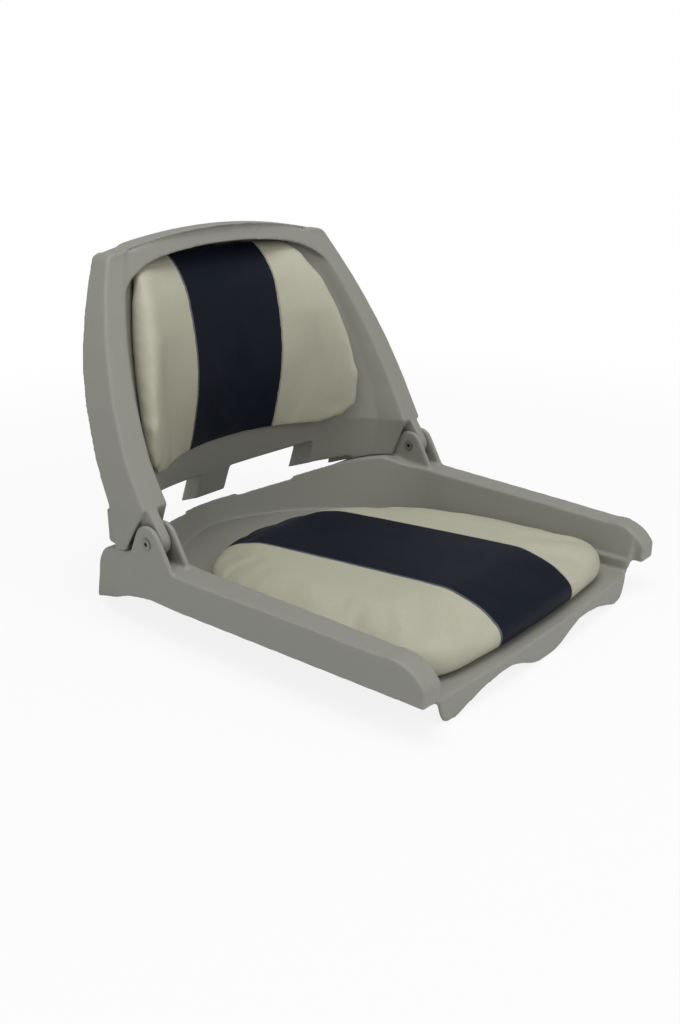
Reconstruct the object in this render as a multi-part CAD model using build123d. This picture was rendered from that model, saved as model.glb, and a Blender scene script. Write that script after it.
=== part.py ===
from build123d import *

import os
from math import acos, atan2, copysign, cos, degrees, hypot, pi, radians, sin, sqrt

# Folding boat seat. Lengths are in millimetres, +Z is up and the sitter faces -Y.
# Shapes are drawn with the hinge axis at Y = 0 and the floor at Z = 0. At the end every
# piece is moved back along Y, so that the origin is the centre of the mounting bolts.

# Driving sizes of the base moulding
seat_width = 514.0
front_taper = 17.0
rear_taper = 16.0
hinge_height = 115.0
ear_rise = 29.0
rail_reach = 377.0
rear_reach = 134.0
apron_setback = 16.0
apron_bow = 11.0
rail_bottom = 44.0
rail_nose_top = 64.0
rail_nose_length = 50.0
rail_nose_root = 70.0
wall = 4.0
apron_arch_height = 15.0
side_arch_front = 28.0
block_foot_back = 124.0
block_shoulder_back = 111.0
block_shoulder_height = 54.0
block_brow_back = 103.0
block_brow_height = 71.5
block_crest_back = 85.5
block_crest_height = 86.0

# Driving sizes of the scooped pan and its rim
rail_width = 32.0
rail_front_width = 24.0
pan_draft = 21.0
pan_front_draft = 20.0
pan_rear_reach = 172.0
pan_rim_rear_reach = 206.0
pan_draw_height = 110.0
scoop_start = 40.0
floor_front_height = 31.0
floor_rear_height = 17.0
floor_setback = 9.0
floor_rear_reach = 75.0
rim_root_drop = 18.0
rim_root_reach = 32.0
rim_shoulder_height = 87.0
rim_shoulder_reach = 78.0
rim_flank_height = 68.0
rim_flank_reach = 128.0
rim_rear_height = 46.0
rim_rear_reach = 187.0
rim_notch_depth = 4.0
rim_notch_inner = 48.0
rim_notch_outer = 122.0

# Hinge
ear_radius = 21.0
ear_thickness = 7.0
ear_front_reach = 42.0
slot_width = 17.0
slot_floor_drop = 27.0
slot_half_length = 26.0
lug_thickness = 14.4
lug_radius = 17.5
lug_height = 62.0
lug_depth = 45.0
lug_top_depth = 20.0
ear_side_gap = 1.0
pin_radius = 4.0
pin_bore_radius = 2.6
pin_head_radius = 7.0
pin_head_thickness = 1.2
bush_wall = 2.0
running_clearance = 0.06
washer_thickness = 1.0
washer_radius = 11.0

# Driving sizes of the back moulding
back_top = 434.5
back_corner_drop = 22.5
back_shoulder_drop = 19.0
ridge_drop = 25.5
corner_setback = 3.0
shoulder_setback = 18.0
arm_setback = 2.0
arm_taper = 68.0
ridge_low_rise = 37.0
ridge_low_back = 4.0
ridge_high_back = 124.0
skirt_rear_low_height = 151.0
skirt_rear_low_back = 55.0
skirt_rear_mid_height = 300.0
skirt_rear_mid_back = 114.0
skirt_rear_high_height = 445.0
skirt_rear_high_back = 160.0
skirt_tip_back = 41.0
skirt_tip_drop = 21.0
ridge_foot_back = 26.0
ridge_foot_drop = 18.0
arm_face_low = 35.0
arm_face_high = 27.0
band_width = 14.0
crown_drop = 4.0
crown_depth = 16.0
crown_flange_drop = 29.0
panel_foot_height = 61.0
panel_foot_back = 179.0
panel_foot_narrowing = 29.0
panel_low_height = 145.0
panel_low_back = 147.0
panel_high_back = 172.0
panel_low_narrowing = 5.0
panel_high_widening = 65.0
top_ridge_back = 133.0
top_band_slope_back = 39.0
top_band_slope_rise = 26.0
back_edge_shoulder_height = 93.0
back_edge_shoulder_back = 78.0
back_edge_flank_height = 84.0
back_edge_flank_back = 118.0
back_foot_setback = 38.0
skirt_flange = 30.0
flange_top_height = 150.0
tab_half_width = 27.0
notch_setback = 45.0
notch_rise = 33.0
back_gap = 0.3

# Cushions
seat_cushion_setback = 7.0
seat_cushion_rear_reach = 96.0
seat_cushion_widest = 190.0
seat_cushion_front_thickness = 54.0
seat_cushion_rear_thickness = 28.0
seat_crown_inset = 50.0
back_cushion_low = 149.0
back_cushion_drop = 5.0
back_cushion_inset = 7.0
back_cushion_thickness = 47.0
stripe_half_width = 75.0
cover_thickness = 1.5
board_thickness = 9.0
board_inset = 14.0
back_board_thickness = 5.0
cushion_gap = 0.6

# Mounting and fasteners
bolt_spacing = 127.0
mount_to_hinge = 120.0
boss_radius = 12.0
insert_radius = 4.8
insert_bore_radius = 3.2
insert_length = 11.0
rib_thickness = 4.0
rib_overrun = 26.0
screw_radius = 2.4
screw_clearance = 0.2
screw_head_radius = 6.0
screw_head_thickness = 3.0
seat_screw_x = 105.0
seat_screw_front = 260.0
seat_screw_rear = 20.0
back_screw_turn_degrees = 21.0
back_screw_low = 205.0
back_screw_drop = 59.0
back_boss_radius = 10.0
back_boss_length = 4.0
tee_nut_radius = 9.0
tee_nut_thickness = 1.6
tee_nut_barrel_radius = 3.6
tee_nut_seat_grip = 7.0
tee_nut_back_grip = 4.0
overrun = 30.0

# Shapes given as shares of the sizes above
scoop_power_share = 1.65
cushion_front_power_share = 5.0
cushion_rear_power_share = 2.2
cushion_arc_shares = [(0.153, 0.25, 0.389), (0.389, 0.5, 0.611), (0.611, 0.7, 0.8)]
scoop_turn_shares = [step / 10 for step in range(11)]
ridge_shares = [
    (0.0, 0.0, 0.0), (0.187, 0.208, 0.012), (0.304, 0.323, 0.0735), (0.42, 0.4375, 0.149), (0.537, 0.5525, 0.265),
    (0.654, 0.669, 0.406), (0.77, 0.779, 0.5765), (0.887, 0.897, 0.775), (1.0, 1.0, 1.0),
]
back_draft_share = 0.2
seat_pillow_shares = [
    (0.0, 0.1), (0.12, 0.03), (0.3, 0.0), (0.5, 0.02), (0.64, 0.09), (0.76, 0.21), (0.86, 0.41),
    (0.93, 0.72), (0.97, 1.15), (0.99, 1.8), (1.0, 2.8),
]
back_pillow_shares = [
    (0.0, 0.78, 0.14), (0.035, 0.9, 0.23), (0.12, 0.98, 0.4), (0.3, 1.0, 0.68), (0.5, 1.0, 0.92),
    (0.66, 1.0, 1.0), (0.82, 1.0, 0.9), (0.93, 0.95, 0.6), (0.98, 0.82, 0.34), (1.0, 0.66, 0.14),
]
back_section_shares = [
    (0.965, 0.0), (0.988, 0.14), (0.998, 0.36), (0.96, 0.76), (0.82, 0.96), (0.5, 1.0), (0.0, 1.0),
]
nose_bulge_share = 0.3
apron_edge_shares = [
    (0.0, 0.0), (0.11, 0.2), (0.24, 1.0), (0.45, 1.1), (0.62, 0.4), (0.7, 0.0), (0.77, 0.1), (0.8, 0.8),
]
apron_end_share = 0.82
apron_rail_share = 0.88
foot_curve_shares = [(0.1, 0.96), (0.35, 0.78), (0.55, 0.52), (0.93, 0.12), (1.0, 0.0)]

half_width = seat_width / 2
front_width = seat_width - 2 * front_taper
rear_width = seat_width - 2 * rear_taper
rail_top = hinge_height - ear_rise
apron_reach = rail_reach - apron_setback
floor_front_reach = apron_reach - floor_setback
seat_cushion_front_reach = apron_reach - seat_cushion_setback
pan_rim_half_width = half_width - rail_width
pan_half_width = pan_rim_half_width - pan_draft
pan_rim_front_half_width = front_width / 2 - rail_front_width
pan_front_half_width = pan_rim_front_half_width - pan_front_draft
seat_cushion_half_width = pan_half_width
rim_root_height = hinge_height - rim_root_drop
slot_floor = hinge_height - slot_floor_drop
outer_ear_face = half_width - ear_thickness
inner_ear_outer_face = outer_ear_face - slot_width
inner_ear_face = inner_ear_outer_face - ear_thickness
lug_centre = inner_ear_outer_face + slot_width / 2
ridge_low_height = hinge_height + ridge_low_rise
ridge_high_height = back_top - ridge_drop
ridge_foot_height = hinge_height - ridge_foot_drop
ridge_low_half_width = half_width - arm_setback
ridge_high_half_width = ridge_low_half_width - arm_taper
inner_foot_half_width = inner_ear_face - ear_side_gap
skirt_tip_height = hinge_height - skirt_tip_drop
back_corner_height = back_top - back_corner_drop
back_corner_half_width = ridge_high_half_width - corner_setback
back_shoulder_height = back_top - back_shoulder_drop
back_shoulder_half_width = ridge_high_half_width - shoulder_setback
panel_high_height = ridge_high_height
panel_foot_radius = half_width - panel_foot_narrowing
panel_low_radius = half_width - panel_low_narrowing
panel_high_radius = half_width + panel_high_widening
back_foot_half_width = inner_ear_face - back_foot_setback
notch_outer_half_width = back_foot_half_width - notch_setback
back_cushion_high = ridge_high_height - back_cushion_drop
back_screw_high = ridge_high_height - back_screw_drop
reach = rail_reach + overrun
far_back = pan_rim_rear_reach + skirt_flange + overrun
sky = back_top + overrun


def straight(value, start, end, low, high):
    """Value on the straight line from (start, low) to (end, high)."""
    return low + (high - low) * (value - start) / (end - start)


def line(start, end):
    return Edge.make_line(start, end)


def arc(start, middle, end):
    return Edge.make_three_point_arc(start, middle, end)


def spline(points, tangents=None):
    return Edge.make_spline([Vector(*point) for point in points], tangents=tangents)


def polyline(points):
    return [line(a, b) for a, b in zip(points[:-1], points[1:])]


def at_side(points):
    """Places (y, z) as points of the middle plane X = 0."""
    return [(0, y, z) for y, z in points]


def across(edges, low, high):
    """Solid between X = low and X = high with a closed Y-Z outline."""
    face = Face(Wire(edges))
    return Pos(low, 0, 0) * extrude(face, amount=high - low, dir=(1, 0, 0))


def both_sides(edges, low, high):
    """The same outline carried across on the left and on the right."""
    right = across(edges, low, high)
    return right + mirror(right, Plane.YZ)


def block(low, high):
    """Box between two corners."""
    size = [b - a for a, b in zip(low, high)]
    middle = [(a + b) / 2 for a, b in zip(low, high)]
    return Pos(*middle) * Box(*size)


def upright(outline, low, high):
    """Solid between two heights with a closed outline seen from above."""
    face = Face(Wire.make_polygon([Vector(x, y, low) for x, y in outline], close=True))
    return extrude(face, amount=high - low, dir=(0, 0, 1))


def rod(low, high, radius, height=hinge_height):
    """Round bar along X at the hinge axis."""
    bar = Cylinder(radius, high - low, rotation=(0, 90, 0))
    return Pos((low + high) / 2, 0, height) * bar


def tube(low, high, radius, bore):
    return rod(low, high, radius) - rod(low - overrun, high + overrun, bore)


def touch_point(place, radius, way):
    """Place where a line from a point in the side view touches a circle on the hinge axis."""
    y, z = place[0], place[1] - hinge_height
    turn = atan2(z, y) + way * acos(radius / hypot(y, z))
    return radius * cos(turn), hinge_height + radius * sin(turn)


def floor_height(y):
    return straight(y, -floor_front_reach, floor_rear_reach, floor_front_height, floor_rear_height)


def side_half_width(y):
    """Half the width of the base's outer side wall at a place along it."""
    if y < -ear_front_reach:
        return straight(y, -rail_reach, -ear_front_reach, front_width / 2, half_width)
    if y > rim_root_reach:
        return straight(y, rim_root_reach, rear_reach, half_width, rear_width / 2)
    return half_width


def scoop_outline(half, rear, front_half, height):
    """Pan outline at one height: straight sides and a pointed round rear."""
    depth = rear + scoop_start
    power = 2 / scoop_power_share
    quarter = [(half * cos(turn * pi / 2) ** power, depth * sin(turn * pi / 2) ** power)
               for turn in scoop_turn_shares]
    curve = quarter + [(-x, y) for x, y in reversed(quarter[:-1])]
    points = [(x, y - scoop_start, height) for x, y in curve]
    corners = [points[-1], (-front_half, -reach, height), (front_half, -reach, height), points[0]]
    return Wire([spline(points)] + polyline(corners))


def pan_cavity(grow):
    """Space inside the pan, or the same space grown by a wall thickness."""
    low = scoop_outline(pan_half_width + grow, pan_rear_reach + grow, pan_front_half_width + grow, 0)
    high = scoop_outline(
        pan_rim_half_width + grow, pan_rim_rear_reach + grow, pan_rim_front_half_width + grow,
        pan_draw_height)
    scoop = Solid.make_loft([low, high], ruled=True)
    corners = [(-reach - overrun, floor_height(-reach - overrun) - grow),
               (far_back, floor_height(far_back) - grow), (far_back, sky), (-reach - overrun, sky)]
    above_floor = across(polyline(at_side(corners + corners[:1])), -seat_width, seat_width)
    return scoop & above_floor


def top_profile(drop):
    """Y-Z outline of everything below the base's top surfaces."""
    nose_start = (-rail_reach, rail_nose_top - drop)
    nose_end = (-rail_reach + rail_nose_length, rail_top - drop)
    bulge = (nose_end[0] - nose_start[0]) * nose_bulge_share
    nose_middle = (nose_start[0] + bulge, nose_end[1] - (nose_end[1] - nose_start[1]) * nose_bulge_share)
    ear_root = (-ear_front_reach, rail_top + wall / 2 - drop)
    slot_root = (0, slot_floor + wall / 2 - drop)
    rim = [(rim_root_reach, rim_root_height - drop), (rim_shoulder_reach, rim_shoulder_height - drop),
           (rim_flank_reach, rim_flank_height - drop), (rim_rear_reach, rim_rear_height - drop)]
    tail = (far_back, straight(far_back, rim_flank_reach, rim_rear_reach, rim[2][1], rim[3][1]))
    front_low = (-reach, -overrun - drop)
    edges = polyline(at_side([front_low, (-reach, nose_start[1]), nose_start]))
    edges.append(arc(*at_side([nose_start, nose_middle, nose_end])))
    edges += polyline(at_side([nose_end, ear_root, slot_root, rim[0]]))
    edges.append(spline(at_side(rim)))
    edges += polyline(at_side([rim[3], tail, (far_back, -overrun - drop), front_low]))
    return across(edges, -seat_width, seat_width)


def block_rear(inset):
    """Everything in front of the sloping, rounded rear of the corner blocks, seen from the side."""
    shoulder = (block_shoulder_back - inset, block_shoulder_height - inset)
    brow = (block_brow_back - inset, block_brow_height - inset)
    crest = (block_crest_back - inset, block_crest_height - inset)
    slope = (block_foot_back - block_shoulder_back) / block_shoulder_height
    foot = (shoulder[0] + slope * (shoulder[1] + overrun), -overrun)
    edges = polyline(at_side([(-reach, sky), (-reach, -overrun), foot, shoulder]))
    edges.append(arc(*at_side([shoulder, brow, crest])))
    edges += polyline(at_side([crest, (crest[0], sky), (-reach, sky)]))
    return across(edges, -seat_width, seat_width)


def base_block(inset):
    """Outer body of the base, or the same body inset by a wall thickness."""
    front = -apron_reach + inset
    corner = side_half_width(front) - inset
    left_front, right_front = (-corner, front, 0), (corner, front, 0)
    outline = [right_front, (half_width - inset, -ear_front_reach, 0),
               (half_width - inset, rim_root_reach, 0), (rear_width / 2 - inset, rear_reach - inset, 0)]
    mirrored = [(-x, y, z) for x, y, z in reversed(outline)]
    edges = polyline(outline + mirrored)
    edges.append(arc(left_front, (0, front - apron_bow, 0), right_front))
    body = extrude(Face(Wire(edges)), amount=hinge_height, dir=(0, 0, 1))
    nose_back = -apron_reach + rail_nose_root
    inner = pan_rim_front_half_width - wall + inset
    nose = upright([(front_width / 2 - inset, -rail_reach + inset),
                    (side_half_width(nose_back) - inset, nose_back),
                    (inner, nose_back), (inner, -rail_reach + inset)], rail_bottom, hinge_height)
    body += nose + mirror(nose, Plane.YZ)
    return body & block_rear(inset)


def ear_profile():
    """Ear seen from the side: a round head on two slanting flanks."""
    front = (-ear_front_reach, rail_top - wall / 2)
    rear = (rim_root_reach + wall / 2, rim_root_height - wall)
    touch_front = touch_point(front, ear_radius, -1)
    touch_rear = touch_point(rear, ear_radius, 1)
    edges = polyline(at_side([front, touch_front]))
    edges.append(arc(*at_side([touch_front, (0, hinge_height + ear_radius), touch_rear])))
    edges += polyline(at_side([touch_rear, rear, front]))
    return edges


def under_floor():
    """Everything lower than the middle of the pan floor's thickness."""
    back = rear_reach
    corners = [(-apron_reach, -overrun), (back, -overrun),
               (back, floor_height(back) - wall / 2), (-apron_reach, floor_height(-apron_reach) - wall / 2)]
    return across(polyline(at_side(corners + corners[:1])), -half_width, half_width)


def bolt_places():
    half = bolt_spacing / 2
    return [(x, y - mount_to_hinge) for x in (-half, half) for y in (-half, half)]


def seat_screw_places():
    return [(x, y) for x in (-seat_screw_x, seat_screw_x) for y in (-seat_screw_front, -seat_screw_rear)]


def upright_rod(x, y, low, high, radius):
    return Pos(x, y, (low + high) / 2) * Cylinder(radius, high - low)


def on_floor(x, y):
    """Frame on the pan floor, with its Z axis square to the floor."""
    slope = atan2(floor_rear_height - floor_front_height, floor_rear_reach + floor_front_reach)
    return Pos(x, y, floor_height(y)) * Rot(degrees(slope), 0, 0)


def local_rod(low, high, radius):
    return Pos(0, 0, (low + high) / 2) * Cylinder(radius, high - low)


def mounting_ribs():
    """Bosses for the bolts and the grid of ribs between them."""
    half = bolt_spacing / 2
    span = half + rib_overrun
    web = rib_thickness / 2
    grid = Part()
    for place in (-half, 0, half):
        grid += block((place - web, -span, 0), (place + web, span, pan_draw_height))
        grid += block((-span, place - web, 0), (span, place + web, pan_draw_height))
        for other in (-half, half):
            if place:
                grid += upright_rod(place, other, 0, pan_draw_height, boss_radius)
    return (Pos(0, -mount_to_hinge, 0) * grid) & under_floor()


def apron_underside():
    """Space below the apron's three lobes, seen from the front."""
    half = side_half_width(-apron_reach)
    points = [(half * share, apron_arch_height * rise) for share, rise in apron_edge_shares]
    points.append((half * apron_end_share, side_arch_front))
    curve = [(-x, z) for x, z in reversed(points[1:])] + points
    y = -reach
    edge = spline([(x, y, z) for x, z in curve])
    rail = [points[-1], (half * apron_rail_share, rail_bottom), (half, rail_bottom), (half, -overrun)]
    ends = [(x, y, z) for x, z in rail] + [(-x, y, z) for x, z in reversed(rail)]
    face = Face(Wire([edge] + polyline(ends)))
    return extrude(face, amount=reach - apron_reach + rail_nose_length, dir=(0, 1, 0))


def side_underside():
    """Space below the rails and in front of the rear feet."""
    points = [(rear_reach * share, rail_bottom * rise) for share, rise in foot_curve_shares]
    start = (0, rail_bottom)
    edges = polyline(at_side([start, (-reach, rail_bottom), (-reach, -overrun), (rear_reach, -overrun),
                              points[-1]]))
    edges.append(spline(at_side([start] + points)))
    return both_sides(edges, pan_rim_half_width - wall, seat_width)


def rim_notches():
    low = [(y, z - rim_notch_depth) for y, z in
           ((rim_flank_reach, rim_flank_height), (rim_rear_reach, rim_rear_height))]
    start = (rear_reach - overrun, straight(rear_reach - overrun, low[0][0], low[1][0], low[0][1], low[1][1]))
    end = (far_back, straight(far_back, low[0][0], low[1][0], low[0][1], low[1][1]))
    outline = [start, end, (far_back, sky), (start[0], sky), start]
    return both_sides(polyline(at_side(outline)), rim_notch_inner, rim_notch_outer)


def make_seat_shell():
    """The base: one moulding, open underneath, with a wall of even thickness."""
    pan_outside = pan_cavity(wall)
    rear_bulge = pan_outside & block((-half_width, 0, 0), (half_width, far_back, hinge_height))
    shell = (base_block(0) + rear_bulge) & top_profile(0)
    shell -= pan_cavity(0)
    slot_walls = block((inner_ear_face, -slot_half_length - wall, slot_floor - wall),
                       (half_width, slot_half_length + wall, sky))
    hollow = (base_block(wall) & top_profile(wall)) - pan_outside
    hollow -= slot_walls + mirror(slot_walls, Plane.YZ)
    shell -= hollow
    shell -= apron_underside()
    shell -= side_underside()
    shell -= rim_notches()
    ears = ear_profile()
    shell += both_sides(ears, inner_ear_face, inner_ear_outer_face)
    shell += both_sides(ears, outer_ear_face, half_width)
    shell += mounting_ribs()
    slot = block((inner_ear_outer_face, -slot_half_length, slot_floor),
                 (outer_ear_face, slot_half_length, sky))
    bore = rod(inner_ear_face - overrun, half_width + overrun, pin_radius)
    for cut in (slot, bore):
        shell -= cut
        shell -= mirror(cut, Plane.YZ)
    for x, y in bolt_places():
        shell -= upright_rod(x, y, -overrun, insert_length, insert_radius)
    for x, y in seat_screw_places():
        shell -= on_floor(x, y) * local_rod(-overrun, overrun, screw_radius + screw_clearance)
    return shell


def ridge_points():
    """Places (height, back, half width) along the front ridge of an arm."""
    points = [(ridge_foot_height, ridge_foot_back, ridge_low_half_width)]
    for rise, depth, spread in ridge_shares:
        points.append((straight(rise, 0, 1, ridge_low_height, ridge_high_height),
                       straight(depth, 0, 1, ridge_low_back, ridge_high_back),
                       straight(spread, 0, 1, ridge_low_half_width, ridge_high_half_width)))
    return points


def on_ridge(height):
    """Place (back, half width) of the ridge at one height, carried on past both ends."""
    points = ridge_points()
    index = 1
    while index < len(points) - 1 and points[index][0] < height:
        index += 1
    below, above = points[index - 1], points[index]
    return [straight(height, below[0], above[0], below[n], above[n]) for n in (1, 2)]


def panel_plan(height):
    """Place of the panel's middle and its plan radius at one height."""
    if height < panel_low_height:
        return [straight(height, panel_foot_height, panel_low_height, low, high) for low, high in
                ((panel_foot_back, panel_low_back), (panel_foot_radius, panel_low_radius))]
    return [straight(height, panel_low_height, panel_high_height, low, high) for low, high in
            ((panel_low_back, panel_high_back), (panel_low_radius, panel_high_radius))]


def bucket_corner(height, grow):
    """Plan place where the curved panel meets the arm's inner wall, and the wall's direction."""
    back, side = on_ridge(height)
    middle, radius = panel_plan(height)
    side -= straight(height, ridge_low_height, ridge_high_height, arm_face_low, arm_face_high)
    x = side - band_width
    y = middle - radius + sqrt(radius ** 2 - x ** 2)
    length = hypot(side - x, back - y)
    way = ((side - x) / length, (back - y) / length)
    start = (x - grow * way[1], y + grow * way[0])
    centre = middle - radius
    along = start[0] * way[0] + (start[1] - centre) * way[1]
    spare = start[0] ** 2 + (start[1] - centre) ** 2 - (radius + grow) ** 2
    step = -along - sqrt(along ** 2 - spare)
    if abs(step) > abs(-along + sqrt(along ** 2 - spare)):
        step = -along + sqrt(along ** 2 - spare)
    return start[0] + step * way[0], start[1] + step * way[1], way


def bucket_section(height, grow):
    """Closed plan outline of the space in front of the panel at one height."""
    x, y, way = bucket_corner(height, grow)
    middle, _ = panel_plan(height)
    end = (x + way[0] * (band_width + overrun), y + way[1] * (band_width + overrun))
    left = [(-x, y, height), (-end[0], end[1], height), (-end[0], -reach, height)]
    right = [(-a, b, c) for a, b, c in reversed(left)]
    edges = [arc(right[-1], (0, middle + grow, height), left[0])]
    edges += polyline(left + right)
    return Wire(edges)


def bucket_cavity(grow):
    """Space in front of the panel and its bands, or the same space grown by a wall."""
    heights = [panel_foot_height / 2, panel_foot_height, ridge_foot_height]
    heights += [straight(rise, 0, 1, ridge_low_height, ridge_high_height) for rise, _, _ in ridge_shares]
    heights.append(sky)
    lower = [bucket_section(height, grow) for height in heights if height <= ridge_low_height]
    upper = [bucket_section(height, grow) for height in heights if height >= ridge_low_height]
    space = Solid.make_loft(lower, ruled=True) + Solid.make_loft(upper, ruled=True)
    slope = top_band_slope_rise / top_band_slope_back
    crown = back_top - crown_drop + grow * hypot(1, slope)
    ends = []
    for y in (-reach, far_back + reach):
        z = crown - slope * (y - top_ridge_back)
        fall = (back_top - back_corner_height) * (seat_width / back_corner_half_width) ** 2
        across_top = arc((-seat_width, y, z - fall), (0, y, z), (seat_width, y, z - fall))
        sides = [(seat_width, y, z - fall), (seat_width, y, z - sky - seat_width),
                 (-seat_width, y, z - sky - seat_width), (-seat_width, y, z - fall)]
        ends.append(Wire([across_top] + polyline(sides)))
    return space & Solid.make_loft(ends, ruled=True)


def back_outline(y, inset):
    """Front-view outline of the back, which spreads with depth by the mould's draft."""
    spread = back_draft_share * y - inset
    side = []
    for height, back, half in ridge_points():
        side.append((half - back_draft_share * back + spread, height))
    side[-1] = (side[-1][0], side[-1][1] - inset)
    low, high = side[0], side[-1]
    foot = (low[0], -overrun)
    spread -= back_draft_share * ridge_high_back
    corner = (back_corner_half_width + spread, back_corner_height - inset)
    shoulder = (back_shoulder_half_width + spread, back_shoulder_height - inset)
    crown = (0, back_top - inset)
    right = [foot] + side
    edges = polyline([(x, y, z) for x, z in right])
    edges.append(arc(*[(x, y, z) for x, z in (high, corner, shoulder)]))
    edges.append(arc(*[(x, y, z) for x, z in (shoulder, crown, (-shoulder[0], shoulder[1]))]))
    edges.append(arc(*[(-x, y, z) for x, z in (shoulder, corner, high)]))
    edges += polyline([(-x, y, z) for x, z in reversed(right)])
    edges.append(line((-foot[0], y, foot[1]), (foot[0], y, foot[1])))
    return Wire(edges)


def behind_ridge(shift):
    """Everything behind the front ridge, seen from the side."""
    points = [(back + shift, height) for height, back, _ in ridge_points()]
    points = [(points[0][0], -overrun)] + points
    top = (points[-1][0] + (points[-1][0] - points[-2][0]), sky + overrun)
    outline = points + [top, (far_back + reach, sky + overrun), (far_back + reach, -overrun), points[0]]
    return across(polyline(at_side(outline)), -seat_width, seat_width)


def skirt_reach():
    """Everything in front of the skirt's rear edge, seen from the side."""
    rear = [(skirt_rear_low_back, skirt_rear_low_height), (skirt_rear_mid_back, skirt_rear_mid_height),
            (skirt_rear_high_back, skirt_rear_high_height)]
    outline = [(-reach, -overrun), (skirt_rear_low_back, -overrun)] + rear
    outline += [(rear[-1][0], sky + overrun), (-reach, sky + overrun), (-reach, -overrun)]
    return across(polyline(at_side(outline)), -seat_width, seat_width)


def above_back_edge(lift):
    """Everything above the back's lower edge with its three tabs and two notches."""
    raised = [(0, rim_root_height + back_gap), (rim_root_reach, rim_root_height + back_gap),
              (back_edge_shoulder_back, back_edge_shoulder_height),
              (back_edge_flank_back, back_edge_flank_height), (panel_foot_back, panel_foot_height)]
    slope = (raised[-1][1] - raised[-2][1]) / (raised[-1][0] - raised[-2][0])
    raised.append((far_back, raised[-1][1] + slope * (far_back - raised[-1][0])))
    everything = block((-seat_width, 0, 0), (seat_width, far_back, sky + overrun))
    everything -= top_profile(-back_gap - lift)
    for low, high, rise in ((0, back_foot_half_width + lift, lift),
                            (tab_half_width - lift, notch_outer_half_width + lift, lift + notch_rise)):
        curve = [(y, z + rise) for y, z in raised]
        low_line = [(curve[-1][0], -overrun), (0, -overrun), curve[0]]
        everything -= both_sides(polyline(at_side(curve + low_line)), low, high)
    return everything


def hinge_lug(envelope):
    """Lug that drops from the right arm into the slot between its two ears."""
    front = (ridge_low_back, ridge_low_height)
    rear = (ridge_low_back + lug_depth, flange_top_height)
    high = hinge_height + lug_height
    ridge_back, _ = on_ridge(high)
    outline = [touch_point(front, lug_radius, 1), front, (ridge_back, high),
               (ridge_back + lug_top_depth, high), rear, touch_point(rear, lug_radius, -1), (0, hinge_height)]
    low_x, high_x = lug_centre - lug_thickness / 2, lug_centre + lug_thickness / 2
    lug = across(polyline(at_side(outline + outline[:1])), low_x, high_x)
    inside = block((0, -reach, ridge_low_height), (seat_width, far_back, sky))
    lug = (lug & envelope & inside) + (lug - inside)
    return lug + rod(low_x, high_x, lug_radius)


def on_panel(turn, height):
    """Frame on the front of the panel, with its Z axis pointing out behind it."""
    middle, radius = panel_plan(height)
    angle = radians(turn)
    place = (radius * sin(angle), middle - radius + radius * cos(angle), height)
    return Plane(origin=place, z_dir=(sin(angle), cos(angle), 0))


def back_screw_places():
    return [(turn, height) for turn in (-back_screw_turn_degrees, back_screw_turn_degrees)
            for height in (back_screw_low, back_screw_high)]


def make_back_shell():
    """The backrest: one moulding with arms, a scooped panel and a skirt, open behind."""
    cavity = bucket_cavity(0)
    panel = bucket_cavity(wall)
    belt = block((-seat_width, -reach, 0), (seat_width, far_back, flange_top_height))
    flange = bucket_cavity(skirt_flange) & belt
    top = block((-seat_width, -reach, back_top - crown_flange_drop), (seat_width, far_back, sky))
    flange += bucket_cavity(crown_depth) & top
    body = Solid.make_loft([back_outline(0, 0), back_outline(far_back, 0)], ruled=True)
    core = Solid.make_loft([back_outline(0, wall), back_outline(far_back + wall, wall)], ruled=True)
    body = (body & behind_ridge(0)) - cavity
    shell = body & above_back_edge(0) & (skirt_reach() + panel + flange)
    shell -= (core & behind_ridge(wall) & above_back_edge(wall)) - panel
    front = (ridge_low_back, ridge_low_height)
    tip = (skirt_tip_back, skirt_tip_height)
    ear_side = [front, tip, (skirt_tip_back, 0), (-reach, 0), (-reach, ridge_low_height), front]
    shell -= both_sides(polyline(at_side(ear_side)), inner_foot_half_width, seat_width)
    lug = hinge_lug(body)
    shell += lug
    shell += mirror(lug, Plane.YZ)
    bore = rod(inner_ear_outer_face, outer_ear_face, pin_radius + bush_wall)
    shell -= bore
    shell -= mirror(bore, Plane.YZ)
    for turn, height in back_screw_places():
        shell += (on_panel(turn, height) * local_rod(-wall, wall + back_boss_length, back_boss_radius)) - cavity
        shell -= on_panel(turn, height) * local_rod(-overrun, overrun, screw_radius + screw_clearance)
    return shell


def seat_pillow_outline(rise, inset, skin):
    """Closed outline of the seat cushion on one tilted level, as a chain of arcs."""
    shrink = 1 - inset / seat_cushion_half_width

    def at(share):
        turn = pi * share - pi / 2
        front = turn < 0
        power = 2 / (cushion_front_power_share if front else cushion_rear_power_share)
        length = seat_cushion_front_reach - seat_cushion_widest if front else (
            seat_cushion_rear_reach + seat_cushion_widest)
        x = seat_cushion_half_width * shrink * abs(cos(turn)) ** power
        y = length * shrink * copysign(abs(sin(turn)) ** power, turn) - seat_cushion_widest
        thickness = straight(y, -seat_cushion_front_reach, seat_cushion_rear_reach,
                             seat_cushion_front_thickness, seat_cushion_rear_thickness)
        return (x, y, floor_height(y) + skin + rise * (thickness - 2 * skin))

    def flip(place):
        return (-place[0], place[1], place[2])

    front, rear = at(cushion_arc_shares[0][0]), at(cushion_arc_shares[-1][-1])
    edges = [arc(flip(front), at(0), front)]
    edges += [arc(at(start), at(middle), at(end)) for start, middle, end in cushion_arc_shares]
    edges.append(arc(rear, at(1), flip(rear)))
    edges += [arc(flip(at(end)), flip(at(middle)), flip(at(start)))
              for start, middle, end in reversed(cushion_arc_shares)]
    return Wire(edges)


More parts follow.
